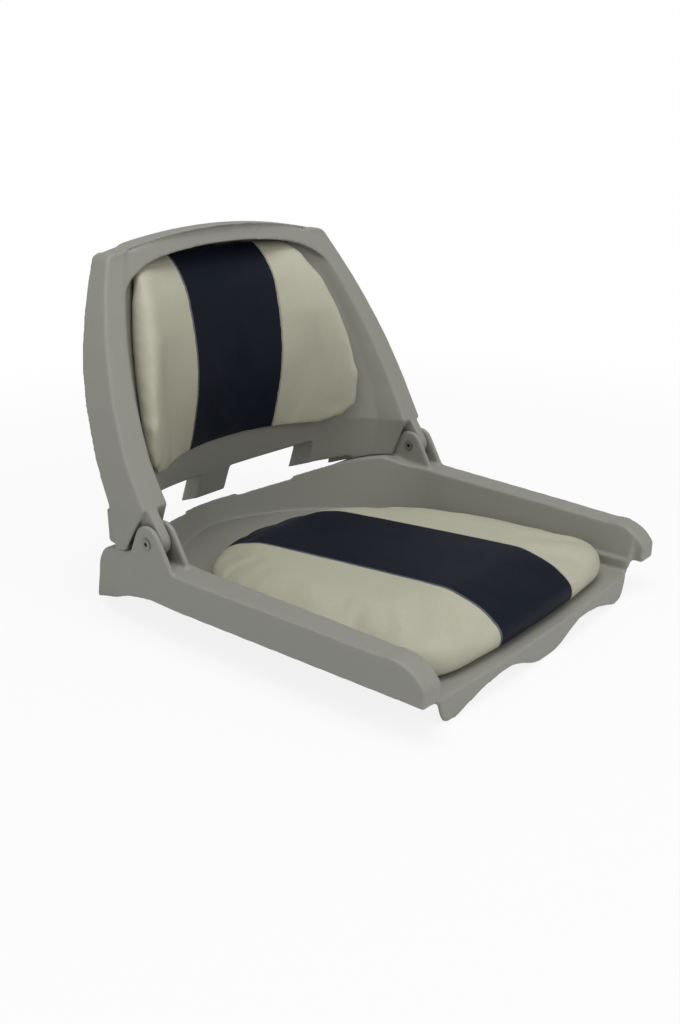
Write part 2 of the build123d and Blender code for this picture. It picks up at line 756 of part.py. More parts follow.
def seat_pillow(skin):
    """Solid seat cushion, or what lies inside its cover."""
    outlines = [seat_pillow_outline(rise, share * seat_crown_inset + skin, skin)
                for rise, share in seat_pillow_shares]
    return Solid.make_loft(outlines, ruled=True)


def seat_board():
    """Flat board in the bottom of the seat cushion."""
    skin = cover_thickness
    low = seat_pillow_outline(0, board_inset, skin)
    high = low.moved(Location((0, 0, board_thickness)))
    return Solid.make_loft([low, high], ruled=True)


def back_cushion_side(rise, spread, inset):
    """Height and half width of the back cushion, or of a shape set in from its edge."""
    height = straight(rise, 0, 1, back_cushion_low + inset, back_cushion_high - inset)
    corner, _, _ = bucket_corner(height, 0)
    return height, (corner - back_cushion_inset) * spread - inset


def back_pillow_section(rise, spread, depth, skin):
    """Plan outline of the back cushion at one height."""
    height, half = back_cushion_side(rise, spread, skin)
    middle, radius = panel_plan(height)
    centre = middle - radius
    radius -= cushion_gap + skin
    thickness = back_cushion_thickness * depth - 2 * skin

    def at(share, forward):
        x = half * share
        return (x, centre + sqrt(radius ** 2 - x ** 2) - forward * thickness, height)

    right = [at(share, forward) for share, forward in back_section_shares]
    left = [(-x, y, z) for x, y, z in reversed(right[:-1])]
    return Wire([arc(left[-1], at(0, 0), right[0]), spline(right + left)])


def back_pillow(skin):
    """Solid back cushion, or what lies inside its cover."""
    return Solid.make_loft([back_pillow_section(rise, spread, depth, skin)
                            for rise, spread, depth in back_pillow_shares], ruled=True)


def back_board(inside):
    """Curved board in the rear of the back cushion."""
    right = []
    for rise, spread, _ in back_pillow_shares:
        height, half = back_cushion_side(rise, spread, cover_thickness + board_inset)
        right.append(Vector(half, 0, height))
    left = [Vector(-point.X, 0, point.Z) for point in reversed(right)]
    plate = extrude(Face(Wire.make_polygon(right + left, close=True)), amount=far_back, dir=(0, 1, 0))
    return (inside & plate) - bucket_cavity(-cushion_gap - cover_thickness - back_board_thickness)


def cover_panels(pillow, inside, holes):
    """The sewn cover: a skin in three panels, left, centre and right."""
    far, tall = seat_width, sky
    cuts = ((-far, -stripe_half_width), (-stripe_half_width, stripe_half_width), (stripe_half_width, far))
    panels = [(pillow & block((low, -far, -tall), (high, far, tall))) - inside for low, high in cuts]
    return [minus(panel, holes) for panel in panels]


def fastener_set(frames, start, board_top, grip):
    """Screws, tee nuts and the holes they need, at a list of frames.

    Local Z = 0 is the face of the shell under the cushion and start is the seat of the head.
    """
    screws, nuts, board_holes, foam_holes = Part(), Part(), [], []
    way = 1 if board_top > start else -1
    for frame in frames:
        def along(low, high, radius):
            return frame * local_rod(min(low, high), max(low, high), radius)
        head = along(start - way * screw_head_thickness, start, screw_head_radius)
        shank = along(start, board_top + way * tee_nut_thickness, screw_radius)
        screws += head + shank
        flange = along(board_top, board_top + way * tee_nut_thickness, tee_nut_radius)
        barrel = along(board_top - way * grip, board_top, tee_nut_barrel_radius)
        nuts += (flange + barrel) - along(start, board_top + way * overrun, screw_radius)
        board_holes += [along(start, board_top, tee_nut_barrel_radius), flange]
        foam_holes.append(flange)
    return screws, nuts, board_holes, foam_holes


def minus(shape, holes):
    for hole in holes:
        shape -= hole
    return shape


def make_cushion(pillow, inside, board, board_holes, foam_holes):
    """Board, foam and three cover panels of one cushion."""
    foam = minus(inside - board, board_holes + foam_holes)
    return [minus(board, board_holes), foam] + cover_panels(pillow, inside, board_holes)


def hinge_parts():
    """Right-hand pin, bush and pair of washers."""
    pin = rod(inner_ear_face - pin_head_thickness, half_width + pin_head_thickness, pin_radius)
    for low in (inner_ear_face - pin_head_thickness, half_width):
        pin += rod(low, low + pin_head_thickness, pin_head_radius)
    pin -= rod(inner_ear_face - overrun, half_width + overrun, pin_bore_radius)
    low, high = lug_centre - lug_thickness / 2, lug_centre + lug_thickness / 2
    bush = tube(low, high, pin_radius + bush_wall, pin_radius + running_clearance)
    washers = Part()
    for start in (inner_ear_outer_face, outer_ear_face - washer_thickness):
        washers += tube(start, start + washer_thickness, washer_radius, pin_radius)
    return pin, bush, washers


def mounting_inserts():
    inserts = Part()
    for x, y in bolt_places():
        inserts += (upright_rod(x, y, 0, insert_length, insert_radius)
                    - upright_rod(x, y, -overrun, overrun, insert_bore_radius))
    return inserts


def make_pieces():
    """Every piece by name, still with the hinge axis at Y = 0."""
    seat_frames = [on_floor(x, y) for x, y in seat_screw_places()]
    board_top = cover_thickness + board_thickness
    seat_set = fastener_set(seat_frames, -wall, board_top, tee_nut_seat_grip)
    seat_cushion = make_cushion(seat_pillow(0), seat_pillow(cover_thickness), seat_board(), *seat_set[2:])
    back_frames = [on_panel(turn, height) for turn, height in back_screw_places()]
    board_face = -(cushion_gap + cover_thickness + back_board_thickness)
    back_set = fastener_set(back_frames, wall + back_boss_length, board_face, tee_nut_back_grip)
    inside = back_pillow(cover_thickness)
    back_cushion = make_cushion(back_pillow(0), inside, back_board(inside), *back_set[2:])
    pin, bush, washers = hinge_parts()
    pieces = {"seat_shell": make_seat_shell(), "back_shell": make_back_shell()}
    names = ("board", "foam", "cover_left", "cover_centre", "cover_right")
    for side, cushion in (("seat", seat_cushion), ("back", back_cushion)):
        for name, solid in zip(names, cushion):
            pieces[f"{side}_cushion_{name}"] = solid
    pieces["seat_cushion_screws"], pieces["seat_cushion_tee_nuts"] = seat_set[:2]
    pieces["back_cushion_screws"], pieces["back_cushion_tee_nuts"] = back_set[:2]
    pieces["mounting_inserts"] = mounting_inserts()
    for name, solid in (("pin", pin), ("bush", bush), ("washers", washers)):
        pieces[f"hinge_{name}_right"] = solid
        pieces[f"hinge_{name}_left"] = mirror(solid, Plane.YZ)
    return pieces


os.makedirs("parts", exist_ok=True)
for name, solid in make_pieces().items():
    print(name, round(solid.volume), len(solid.solids()))
    export_step(Pos(0, mount_to_hinge, 0) * solid, f"parts/{name}.step")
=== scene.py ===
# %% [markdown]
# # A folding boat seat
#
# The hard parts of this seat come from a CAD model: two grey mouldings, the boards, the hinge and the
# fasteners. This lesson gives them finishes, and makes the upholstery, which CAD can only block out.
# We start by loading the CAD model. It stays where it is, and everything made here is fitted to it.

# %% Load the hard parts
import math

import bpy
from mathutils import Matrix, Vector


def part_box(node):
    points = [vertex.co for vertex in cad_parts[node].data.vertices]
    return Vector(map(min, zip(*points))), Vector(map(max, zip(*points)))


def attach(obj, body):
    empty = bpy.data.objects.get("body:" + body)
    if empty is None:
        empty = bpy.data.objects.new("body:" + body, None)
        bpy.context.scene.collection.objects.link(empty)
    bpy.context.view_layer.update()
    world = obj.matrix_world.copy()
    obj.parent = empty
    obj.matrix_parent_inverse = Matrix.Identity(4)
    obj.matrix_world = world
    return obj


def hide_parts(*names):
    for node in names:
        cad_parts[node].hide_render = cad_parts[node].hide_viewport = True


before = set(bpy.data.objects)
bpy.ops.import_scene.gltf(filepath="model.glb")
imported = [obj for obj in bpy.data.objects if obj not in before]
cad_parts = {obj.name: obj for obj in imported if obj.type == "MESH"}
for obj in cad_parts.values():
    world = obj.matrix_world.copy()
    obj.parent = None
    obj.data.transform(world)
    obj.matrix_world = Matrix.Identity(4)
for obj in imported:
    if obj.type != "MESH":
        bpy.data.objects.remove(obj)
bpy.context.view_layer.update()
MM = 0.001
print("nodes:", ", ".join(sorted(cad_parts)))

# %% [markdown]
# Operators act on whatever is selected, and a freshly loaded model is selected all over. So the first
# helper clears the selection and makes one object the active one, and the second adds a modifier and
# applies it. The third copies CAD nodes into one new mesh: the copies lose their link to the CAD model,
# are joined, and have their loose triangles merged into a closed skin.

# %% Selecting and copying
def only(piece):
    """Selects one object and nothing else."""
    if bpy.context.mode != "OBJECT":
        bpy.ops.object.mode_set(mode="OBJECT")
    bpy.ops.object.select_all(action="DESELECT")
    piece.select_set(True)
    bpy.context.view_layer.objects.active = piece


def apply_modifier(piece, kind, **settings):
    """Adds a modifier with these settings and applies it at once."""
    only(piece)
    modifier = piece.modifiers.new(kind.title(), kind)
    for name, value in settings.items():
        setattr(modifier, name, value)
    bpy.ops.object.modifier_apply(modifier=modifier.name)


MERGE_DISTANCE = 0.01 * MM


def copy_of(nodes, name):
    """One new object with the merged meshes of some CAD nodes."""
    twins = []
    for node in nodes:
        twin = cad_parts[node].copy()
        twin.data = twin.data.copy()
        for key in list(twin.keys()):
            del twin[key]
        twin.parent = None
        twin.data.materials.clear()
        bpy.context.scene.collection.objects.link(twin)
        twins.append(twin)
    only(twins[0])
    for twin in twins:
        twin.select_set(True)
    if len(twins) > 1:
        bpy.ops.object.join()
    piece = bpy.context.view_layer.objects.active
    piece.name = piece.data.name = name
    bpy.ops.object.mode_set(mode="EDIT")
    bpy.ops.mesh.select_all(action="SELECT")
    bpy.ops.mesh.customdata_custom_splitnormals_clear()
    bpy.ops.mesh.remove_doubles(threshold=MERGE_DISTANCE)
    bpy.ops.object.mode_set(mode="OBJECT")
    print(name, "copied:", len(piece.data.polygons), "faces")
    return piece


bpy.ops.object.select_all(action="DESELECT")
print("nothing is selected, so the next operator acts only on what it makes")

# %% [markdown]
# ## Shader maths in plain Python
#
# A finish is a network of nodes, and wiring one by hand in code is hard to read. Here a small class
# stands for one output of a node. Adding or multiplying two of them adds the Math node that does it, so
# `0.4 + 0.1 * grain` reads as what it means.

# %% One class for a socket
class Signal:
    """An output of a shader node, with the usual arithmetic."""

    def __init__(self, finish, socket):
        self.finish = finish
        self.socket = socket

    def __add__(self, other):
        return self.finish.maths("ADD", self, other)

    def __sub__(self, other):
        return self.finish.maths("SUBTRACT", self, other)

    def __rsub__(self, other):
        return self.finish.maths("SUBTRACT", other, self)

    def __mul__(self, other):
        return self.finish.maths("MULTIPLY", self, other)

    __radd__ = __add__
    __rmul__ = __mul__

    def ramp(self, low, high):
        """0 below low, 1 above high and a smooth rise between them."""
        return self.finish.node("ShaderNodeMapRange", {"interpolation_type": "SMOOTHSTEP"},
                                {0: self, 1: low, 2: high})


print("a signal can be added, subtracted, multiplied and ramped")

# %% [markdown]
# A second class stands for the whole finish. Every other node comes from its one method `node`: the
# node's type, its settings, and then what goes into its sockets. A world is shaded by nodes too, so the
# same class builds one.

# %% One class for a finish
class Finish:
    """A material or a world, built up node by node."""

    def __init__(self, name, kind="materials"):
        self.owner = getattr(bpy.data, kind).new(name)
        self.owner.use_nodes = True
        self.owner.node_tree.nodes.clear()

    def node(self, kind, settings=None, values=None, output=0):
        made = self.owner.node_tree.nodes.new(kind)
        for name, value in (settings or {}).items():
            setattr(made, name, value)
        for name, value in (values or {}).items():
            if isinstance(value, Signal):
                self.owner.node_tree.links.new(value.socket, made.inputs[name])
            else:
                made.inputs[name].default_value = value
        return None if output is None else Signal(self, made.outputs[output])

    def maths(self, operation, first, second):
        return self.node("ShaderNodeMath", {"operation": operation}, {0: first, 1: second})

    def place(self, stretch=(1, 1, 1)):
        """Where a point is on the piece, in metres, stretched if wanted."""
        place = self.node("ShaderNodeTexCoord", output="Object")
        return self.node("ShaderNodeMapping", {"vector_type": "POINT"}, {"Vector": place, "Scale": stretch})

    def noise(self, size, detail=2.0, stretch=(1, 1, 1)):
        """Cloudy noise whose lumps are about size metres across."""
        return self.node("ShaderNodeTexNoise", None,
                         {"Vector": self.place(stretch), "Scale": 1 / size, "Detail": detail})

    def pebbles(self, size, place):
        """Pebbles about size metres across: 0 in the grooves between them."""
        return self.node("ShaderNodeTexVoronoi", {"feature": "DISTANCE_TO_EDGE"},
                         {"Vector": place, "Scale": 1 / size})

    def blend(self, factor, first, second):
        """A colour between two colours."""
        return self.node("ShaderNodeMix", {"data_type": "RGBA"}, {0: factor, 6: first, 7: second}, output=2)

    def show(self, shader):
        """Makes this shader the one that the material shows, and returns the material."""
        self.node("ShaderNodeOutputMaterial", None, {"Surface": shader}, output=None)
        return self.owner

    def surface(self, bumps, **sockets):
        """Finishes the material. Each bump is its height signal and the height of 1 in metres."""
        values = {name.replace("_", " ").title().replace("Ior", "IOR"): value
                  for name, value in sockets.items()}
        below = {}
        for height, rise in bumps:
            bump = {"Height": height, "Distance": rise, "Strength": 1.0}
            below = {"Normal": self.node("ShaderNodeBump", None, bump | below)}
        return self.show(self.node("ShaderNodeBsdfPrincipled", None, values | below))


def shade(*paint):
    """A colour given as a paint chart gives it, 0 to 255, as the light values that a shader wants."""
    light = [((c / 255 + 0.055) / 1.055) ** 2.4 if c > 10 else c / 255 / 12.92 for c in paint]
    return (*light, 1.0)


print("a mid grey of 128 is", round(shade(128, 128, 128)[0], 3), "in light")

# %% [markdown]
# ## The grey moulded plastic
#
# Both mouldings are one warm grey plastic with a fine satin grain, cut into the mould so that scratches
# don't show. Three things give it away: a grain of just under a millimetre, a very slight cloudiness in
# colour, and edges that are rounded by the mould. The colour is also made paler along convex edges, and
# darker in hollows as painted shade. The shader finds both by pointiness, which is above a half where a
# surface is convex and below it where it is hollow.

# %% Moulded plastic
def make_moulded_plastic():
    finish = Finish("moulded_grey_plastic")
    pointed = finish.node("ShaderNodeNewGeometry", output="Pointiness")
    edge = pointed.ramp(0.52, 0.60)
    hollow = 1.0 - pointed.ramp(0.42, 0.49)
    cloud = finish.noise(90 * MM, detail=3.0)
    fine = finish.noise(0.9 * MM, detail=2.0)
    scuffs = finish.noise(4 * MM, detail=4.0, stretch=(1.0, 0.25, 1.0)).ramp(0.52, 0.78)
    grey, pale, painted_hollow_shade = shade(141, 141, 133), shade(166, 165, 156), shade(118, 117, 109)
    # Paler along convex edges, with a cloudy tone and scuffs.
    colour = finish.blend(0.40 * edge + 0.10 * cloud + 0.06 * scuffs, grey, pale)
    # Darker in hollows, towards a darker grey: painted shade.
    colour = finish.blend(0.5 * hollow, colour, painted_hollow_shade)
    return finish.surface(
        bumps=[(fine, 0.12 * MM)],
        base_color=colour,
        roughness=0.50 + 0.10 * (cloud - 0.5) + 0.08 * (fine - 0.5) + 0.06 * scuffs,
    )


moulded_plastic = make_moulded_plastic()
print(moulded_plastic.name, "has", len(moulded_plastic.node_tree.nodes), "nodes")

# %% [markdown]
# ## The vinyl
#
# Marine vinyl is a soft plastic skin on a knitted backing, embossed with a leather grain: irregular
# pebbles of 1 to 2 mm with fine creases between them. The grain here is a cell pattern whose place is
# first disturbed by noise, so that no groove is straight. The creases are less glossy than the pebbles,
# and their colour is darkened as painted shade. Along one seam, where its edge is turned in, the navy
# panel has a painted highlight: a thin pale line.

# %% Vinyl in two colours
SEAM_SIDE = 75 * MM
# Where, and in what colour, a painted highlight runs: a thin pale line inside the navy panel at its left
# seam.
SEAM_HIGHLIGHT_INNER, SEAM_HIGHLIGHT_OUTER = SEAM_SIDE - 1.9 * MM, SEAM_SIDE - 1.2 * MM
SEAM_HIGHLIGHT_COLOUR = shade(158, 166, 180)


def make_vinyl(name, colour, tone_and_groove_shade, roughness, shine, seam_highlight=0.0):
    finish = Finish(name)
    wander = finish.node("ShaderNodeTexNoise", None,
                         {"Vector": finish.place(), "Scale": 1 / (3 * MM), "Detail": 2.0}, output="Color")
    moved = finish.node("ShaderNodeVectorMath", {"operation": "SCALE"}, {0: wander, "Scale": 1.2 * MM})
    place = finish.node("ShaderNodeVectorMath", {"operation": "ADD"}, {0: finish.place(), 1: moved})
    pebble = finish.pebbles(1.7 * MM, place).ramp(0.0, 0.22)
    cloud = finish.noise(60 * MM, detail=3.0)
    fine = finish.noise(0.5 * MM, detail=2.0)
    # Darker in the grooves between the pebbles: painted shade. The cloudy part is the vinyl's own uneven
    # tone.
    tone = finish.blend(0.25 * cloud + 0.22 * (1.0 - pebble), colour, tone_and_groove_shade)
    # A painted highlight: a thin pale line along the navy panel's edge at its left seam.
    if seam_highlight:
        across = finish.node("ShaderNodeSeparateXYZ", None, {0: finish.place()}, output="X")
        edge = (0.0 - across).ramp(SEAM_HIGHLIGHT_INNER, SEAM_HIGHLIGHT_OUTER)
        tone = finish.blend(seam_highlight * edge, tone, SEAM_HIGHLIGHT_COLOUR)
    return finish.surface(
        bumps=[(pebble, 0.09 * MM), (fine, 0.03 * MM)],
        base_color=tone,
        roughness=roughness + 0.12 * (cloud - 0.5) + 0.10 * (1.0 - pebble),
        specular_ior_level=shine,
    )


cream_vinyl = make_vinyl("cream_vinyl", shade(186, 184, 165), shade(158, 155, 136), 0.46, 0.4)
# The navy vinyl carries the painted highlight along its seam.
navy_vinyl = make_vinyl("navy_vinyl", shade(11, 19, 35), shade(5, 8, 16), 0.46, 0.16, seam_highlight=0.4)
print("made", cream_vinyl.name, "and", navy_vinyl.name)

# %% [markdown]
# ## Metal, nylon and board
#
# The hardware is small, but the eye notices when a screw looks like plastic. The metals vary in
# roughness, as drawn or turned metal does. The nylon of the washers and bushes is plain and a little
# cloudy, and the plywood board shows its plies as stripes across its thickness.

# %% Metals
def make_metal(name, colour, worn, roughness, metallic=1.0):
    finish = Finish(name)
    draw = finish.noise(2 * MM, detail=3.0, stretch=(0.15, 1.0, 1.0))
    spots = finish.noise(14 * MM, detail=4.0).ramp(0.55, 0.75)
    return finish.surface(
        bumps=[(draw, 0.02 * MM)],
        base_color=finish.blend(0.5 * spots + 0.3 * draw, colour, worn),
        metallic=metallic,
        roughness=roughness + 0.12 * (draw - 0.5) + 0.10 * spots,
    )


stainless = make_metal("stainless_steel", shade(176, 174, 168), shade(140, 138, 132), 0.32)
pin_steel = make_metal("hinge_pin_steel", shade(142, 141, 133), shade(112, 111, 104), 0.42, metallic=0.75)
brass = make_metal("insert_brass", shade(196, 164, 96), shade(150, 122, 70), 0.34)
print("metals:", stainless.name, pin_steel.name, brass.name)

# %% Nylon and plywood
def make_nylon():
    finish = Finish("nylon")
    cloud, fine = finish.noise(6 * MM), finish.noise(0.6 * MM)
    return finish.surface(
        bumps=[(fine, 0.03 * MM)],
        base_color=finish.blend(cloud, shade(206, 204, 196), shade(186, 184, 174)),
        roughness=0.46 + 0.10 * (fine - 0.5),
    )


def make_board():
    finish = Finish("plywood_board")
    grain = finish.noise(9 * MM, detail=5.0, stretch=(12.0, 1.0, 12.0))
    plies = finish.node("ShaderNodeTexWave", {"wave_type": "BANDS", "bands_direction": "Z"},
                        {"Vector": finish.place(), "Scale": 1 / (20 * MM), "Distortion": 0.6})
    return finish.surface(
        bumps=[(grain, 0.12 * MM)],
        base_color=finish.blend(0.5 * grain + 0.3 * plies, shade(190, 158, 112), shade(140, 106, 66)),
        roughness=0.62 + 0.15 * (grain - 0.5),
    )


nylon, plywood = make_nylon(), make_board()
print("made", nylon.name, "and", plywood.name)

# %% [markdown]
# ## Giving the hard parts their finishes
#
# Each CAD node's name already says what it is, so one table is enough: some words of the name, and the
# finish that the node gets. The mouldings and the cushions aren't in it, as they are made anew below.

# %% Finishes on the CAD nodes
FINISH_OF = {
    "cushion_board": plywood,
    "cushion_screws": stainless,
    "cushion_tee_nuts": stainless,
    "mounting_inserts": brass,
    "hinge_pin": pin_steel,
    "hinge_washers": nylon,
    "hinge_bush": nylon,
}
for name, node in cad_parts.items():
    for words, material in FINISH_OF.items():
        if words in name:
            if not node.material_slots:
                node.data.materials.append(material)
            for slot in node.material_slots:
                slot.material = material
print(len(FINISH_OF), "kinds of hard part are finished")

# %% [markdown]
# ## Rounding the mouldings
#
# Nothing that comes out of a mould has a sharp edge, but the CAD shells are made of flat cuts. Each shell
# is copied, its skin is rebuilt from small even squares and then smoothed, which rounds every edge by
# about 3 mm and leaves the flat stretches where they are. Rebuilding also fuses whatever is joined to the
# copy first, so the places where the real mouldings are fuller than the CAD shells get a plain filler,
# and the joint between the two never shows.
#
# Each filler starts as a block, given in millimetres by two opposite corners.

# %% A filler block
def filler_block(name, low, high, strips=1):
    """A block between two corners in millimetres, cut along X into this many strips."""
    size = [(b - a) * MM for a, b in zip(low, high)]
    middle = [(a + b) / 2 * MM for a, b in zip(low, high)]
    bpy.ops.mesh.primitive_cube_add(size=1, location=middle)
    piece = bpy.context.view_layer.objects.active
    piece.name = name
    piece.scale = size
    bpy.ops.object.transform_apply(location=True, rotation=False, scale=True)
    for cut in range(1, strips):
        bpy.ops.object.mode_set(mode="EDIT")
        bpy.ops.mesh.select_all(action="SELECT")
        side = low[0] + (high[0] - low[0]) * cut / strips
        bpy.ops.mesh.bisect(plane_co=(side * MM, 0, 0), plane_no=(1, 0, 0))
        bpy.ops.object.mode_set(mode="OBJECT")
    print(name, "has", len(piece.data.polygons), "faces")
    return piece


# %% [markdown]
# Under its top edge the back has a flat face, which leans back and turns down into the arms at both
# ends. The filler is cut into strips, so that its points can follow the top edge as it falls away from
# the middle. At the ends its lower points follow a quarter of an ellipse, which rounds the bucket's
# upper corners.

# %% The face under the crown of the back
CROWN_HALF_WIDTH, CROWN_STRIPS = 180, 36
CROWN_FRONT, CROWN_REAR = 254, 278
CROWN_LOW, CROWN_HIGH = 413, 431
CROWN_SAG = 0.0007
CROWN_LEAN = 0.42
TURN_START, TURN_DROP, TURN_SHARE, TURN_THINNING = 105, 32, 0.98, 8


def crown_filler():
    """The filler for that face, bent to follow the top edge."""
    piece = filler_block("crown_filler", (-CROWN_HALF_WIDTH, CROWN_FRONT, CROWN_LOW),
                         (CROWN_HALF_WIDTH, CROWN_REAR, CROWN_HIGH), CROWN_STRIPS)
    for vertex in piece.data.vertices:
        x, y, z = (value / MM for value in vertex.co)
        is_low = z < (CROWN_LOW + CROWN_HIGH) / 2
        is_rear = y > (CROWN_FRONT + CROWN_REAR) / 2
        turn = max(0, abs(x) - TURN_START) / (CROWN_HALF_WIDTH - TURN_START)
        z -= CROWN_SAG * x ** 2
        if is_low:
            z -= TURN_DROP * (1 - math.sqrt(1 - (TURN_SHARE * turn) ** 2))
        y += (z - CROWN_HIGH) * CROWN_LEAN
        if is_rear:
            y -= TURN_THINNING * turn
        vertex.co = (x * MM, y * MM, z * MM)
    return piece


# %% [markdown]
# Behind each arm, over the base's corner block, stands a boxed foot with a rounded lip around its sole.
# At its front corners the pan runs up into the rails with a strip of floor and a strip of wall. These
# are plain blocks and discs, one set for each side, and the rebuilding rounds them.

# %% The feet behind the arms and the corners of the pan
FOOT_INNER, FOOT_OUTER = 214, 249
FOOT_FRONT, FOOT_REAR = 170, 201
FOOT_LOW, FOOT_HIGH = 96, 136
LIP_SIDE, LIP_MIDDLE, LIP_HEIGHT = 230, 189, 97.5
LIP_RADIUS, LIP_THICKNESS = 21, 6
PAN_CORNER_FRONT, PAN_CORNER_REAR, PAN_CORNER_LOW = -241, -186, 26.5
FLOOR_STRIP = {"inner": 194, "outer": 206, "top": 30.5}
WALL_STRIP = {"inner": 202.5, "outer": 208, "top": 46}


def arm_foot(side):
    """The foot on one side, -1 or 1: a box and a disc."""
    left, right = sorted((side * FOOT_INNER, side * FOOT_OUTER))
    box = filler_block("arm_foot", (left, FOOT_FRONT, FOOT_LOW), (right, FOOT_REAR, FOOT_HIGH))
    bpy.ops.mesh.primitive_cylinder_add(
        vertices=48, radius=LIP_RADIUS * MM, depth=LIP_THICKNESS * MM,
        location=(side * LIP_SIDE * MM, LIP_MIDDLE * MM, LIP_HEIGHT * MM))
    lip = bpy.context.view_layer.objects.active
    lip.name = "arm_foot_lip"
    bpy.ops.object.transform_apply(location=True, rotation=False, scale=False)
    return [box, lip]


def pan_corner(side, inner, outer, top):
    """One strip at a front corner of the pan, on the side -1 or 1."""
    left, right = sorted((side * inner, side * outer))
    low, high = (left, PAN_CORNER_FRONT, PAN_CORNER_LOW), (right, PAN_CORNER_REAR, top)
    return filler_block("pan_corner", low, high)


# %% [markdown]
# The voxels of the remesh are as fine as the smallest radius needs, and decimation then takes away the
# faces that the flat stretches don't need. That keeps each moulding under 200,000 triangles.

# %% Rounded mouldings
def rounded_moulding(node, name, body, fillers, square, passes, share):
    """A copy of a shell with its fillers, rebuilt from squares, smoothed and thinned to a share."""
    piece = copy_of([node], name)
    for filler in fillers:
        filler.select_set(True)
    bpy.ops.object.join()
    apply_modifier(piece, "REMESH", mode="VOXEL", voxel_size=square, adaptivity=0.0)
    apply_modifier(piece, "SMOOTH", factor=0.5, iterations=passes)
    apply_modifier(piece, "DECIMATE", ratio=share)
    piece.data.materials.clear()
    piece.data.materials.append(moulded_plastic)
    only(piece)
    bpy.ops.object.shade_smooth()
    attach(piece, body)
    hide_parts(node)
    print(name, "has", sum(len(face.vertices) - 2 for face in piece.data.polygons), "triangles")


pan_corners = [pan_corner(side, **strip) for strip in (FLOOR_STRIP, WALL_STRIP) for side in (1, -1)]
rounded_moulding("seat_shell", "seat_moulding", "seat", pan_corners,
                 square=1.6 * MM, passes=14, share=0.25)
rounded_moulding("back_shell", "back_moulding", "backrest", [crown_filler()] + arm_foot(-1) + arm_foot(1),
                 square=1.3 * MM, passes=22, share=0.24)

# %% [markdown]
# ## The cushions
#
# Each cushion is a foam block on a board, under a cover sewn from three panels. A modelled block looks
# hard, because real covers are cut a little small and the foam pushes out against them. Cloth
# simulation gives that: the block's skin becomes cloth with air pressure inside, held where it is
# stapled to the board, and after a few steps it is crowned, with its sides drawn in between the corners.
#
# The block is the CAD foam, covers and board together, remeshed into one even skin of 5 mm squares. It is
# first shrunk, since it swells.

# %% Blocking out a cushion
SKIN_SQUARE = 5 * MM
SHRINK = 2 * MM


def select_points(piece, wanted):
    """In object mode, selects the points for which wanted(point) is true."""
    only(piece)
    bpy.ops.object.mode_set(mode="EDIT")
    bpy.ops.mesh.select_mode(type="VERT")
    bpy.ops.mesh.select_all(action="DESELECT")
    bpy.ops.object.mode_set(mode="OBJECT")
    for vertex in piece.data.vertices:
        vertex.select = wanted(vertex)


def block_out(name, nodes):
    """The joined and remeshed block of a cushion, a little smaller than it will be."""
    piece = copy_of(nodes, name)
    apply_modifier(piece, "REMESH", mode="VOXEL", voxel_size=SKIN_SQUARE, adaptivity=0.0)
    apply_modifier(piece, "SMOOTH", factor=0.5, iterations=4)
    select_points(piece, lambda vertex: True)
    bpy.ops.object.mode_set(mode="EDIT")
    bpy.ops.mesh.normals_make_consistent(inside=False)
    bpy.ops.transform.shrink_fatten(value=-SHRINK)
    bpy.ops.object.mode_set(mode="OBJECT")
    print(name, "blocked out:", len(piece.data.polygons), "squares")
    return piece


# %% [markdown]
# How far a point may move while it swells is capped, so the cushion keeps its size. Stiff bending and a
# last smoothing keep the skin from wrinkling, as the backing of real vinyl does.

# %% Swelling a cushion
STEPS = 20
PRESSURE = 2.5
BENDING_STIFFNESS = 8.0
MOST_MOVEMENT = 9 * MM
SMOOTHING_PASSES = 12


def swell(piece, held):
    """Blows the block up like cloth under pressure, held at some points, and caps the movement."""
    group = piece.vertex_groups.new(name="held")
    group.add([v.index for v in piece.data.vertices if held(v)], 1.0, "REPLACE")
    before = [v.co.copy() for v in piece.data.vertices]
    only(piece)
    cloth = piece.modifiers.new("Cloth", "CLOTH")
    cloth.settings.vertex_group_mass = "held"
    cloth.settings.use_pressure = True
    cloth.settings.uniform_pressure_force = PRESSURE
    cloth.settings.bending_stiffness = BENDING_STIFFNESS
    cloth.settings.effector_weights.gravity = 0.0
    cloth.collision_settings.use_collision = False
    for step in range(1, STEPS + 1):
        bpy.context.scene.frame_set(step)
    bpy.ops.object.modifier_apply(modifier=cloth.name)
    bpy.context.scene.frame_set(1)
    furthest = 0.0
    for vertex, start in zip(piece.data.vertices, before):
        move = vertex.co - start
        furthest = max(furthest, move.length)
        if move.length > MOST_MOVEMENT:
            vertex.co = start + move * (MOST_MOVEMENT / move.length)
    piece.vertex_groups.clear()
    apply_modifier(piece, "SMOOTH", factor=0.5, iterations=SMOOTHING_PASSES)
    print(piece.name, "swelled by", round(furthest / MM, 1), "mm, capped at", round(MOST_MOVEMENT / MM))


# %% [markdown]
# The blocks are a little plainer than the real cushions, so both are eased into shape before they swell.
# The seat cushion is a little wider and reaches further over the front lip. The back cushion has squarer
# upper corners, and its front stays full right up to its sides. It sits a little to the left, as a
# cushion that is stapled by hand may, and its right side runs straighter than its left.

# %% Easing the blocks into shape
SEAT_WIDTH_FACTOR = 1.015
SEAT_REACH = 7 * MM
BACK_FULLNESS = 8 * MM
BACK_LIFT = 6 * MM
BACK_LEFT_FACTOR, BACK_RIGHT_FACTOR, BACK_RIGHT_HOLLOW = 1.03, 0.925, 0.03
UPPER_CORNER_WIDENING, LOWER_CORNER_NARROWING = 0.34, 0.05


def ease(value, low, high, power):
    """0 below low, 1 above high, and a curve between them."""
    return min(1.0, max(0.0, (value - low) / (high - low))) ** power


def shape_seat(block, low):
    for vertex in block.data.vertices:
        vertex.co.x *= SEAT_WIDTH_FACTOR
        vertex.co.y -= SEAT_REACH * ease(-vertex.co.y, 0.0, -low.y, 2)


